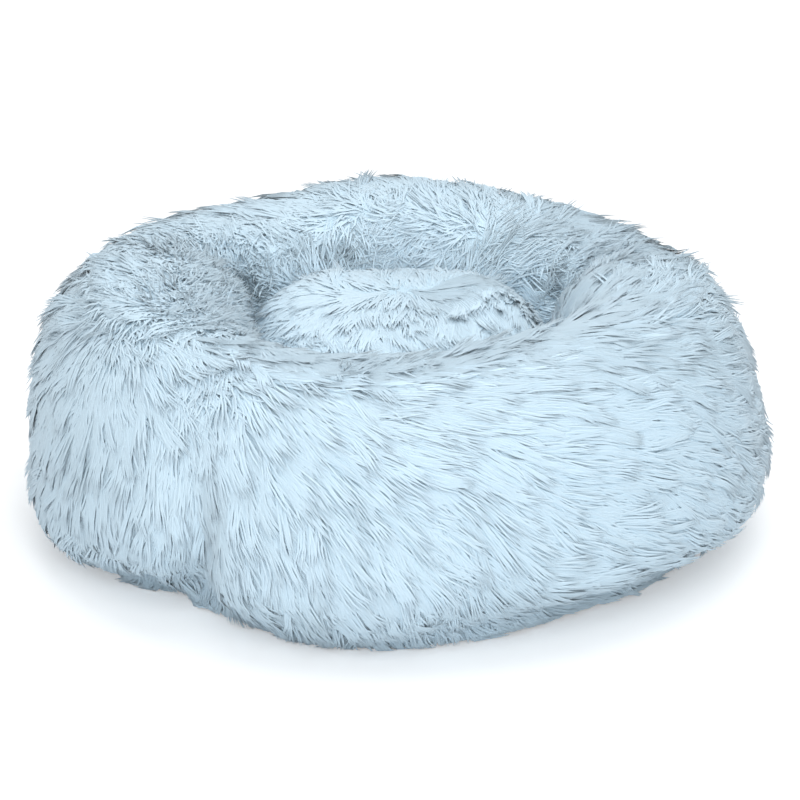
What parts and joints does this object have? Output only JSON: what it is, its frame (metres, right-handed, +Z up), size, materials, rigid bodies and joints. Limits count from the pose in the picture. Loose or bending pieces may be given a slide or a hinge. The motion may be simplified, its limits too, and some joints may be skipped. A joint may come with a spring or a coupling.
{
  "type": "donut pet bed",
  "caption": "Round plush pet bed with a raised stuffed ring around a crowned nest cushion, non-slip base and a short zip underneath.",
  "frame": {"origin": "centre of the bed's footprint, on the floor", "axes": "+Z up from the floor to the ring's top, +X along the base zip towards its closed end, -Y the front of the bed as pictured"},
  "size_m": [0.4894, 0.4894, 0.1864],
  "materials": {
    "plush": "long silky pile",
    "fibre": "bonded polyester fibre",
    "base_cloth": "coated woven cloth with moulded dots",
    "tape_cloth": "woven tape",
    "coil": "semi-gloss monofilament",
    "nickel": "satin nickel plate",
    "satin": "woven satin"
  },
  "bodies": {
    "bed": {"bolster_cover_front": "plush", "bolster_cover_right": "plush", "bolster_cover_back": "plush", "bolster_cover_left": "plush", "bolster_fill": "fibre", "cushion_cover": "plush", "cushion_fill": "fibre", "base_panel_front": "base_cloth", "base_panel_back": "base_cloth", "zip_tape_front": "tape_cloth", "zip_tape_back": "tape_cloth", "zip_coil_front": "coil", "zip_coil_back": "coil", "zip_top_stop_front": "nickel", "zip_top_stop_back": "nickel", "zip_bottom_stop": "nickel", "care_label": "satin"},
    "slider": {"zip_slider": "nickel"},
    "puller": {"zip_puller": "nickel"}
  },
  "joints": [
    {"name": "zip_slide", "type": "slide", "parent": "bed", "child": "slider", "axis": [-1, 0, 0], "range_m": [0, 0.168]},
    {"name": "puller_hinge", "type": "hinge", "parent": "slider", "child": "puller", "pos_m": [0.0841, 0, 0.00135], "axis": [0, -1, 0], "range_deg": [0, 170]}
  ]
}
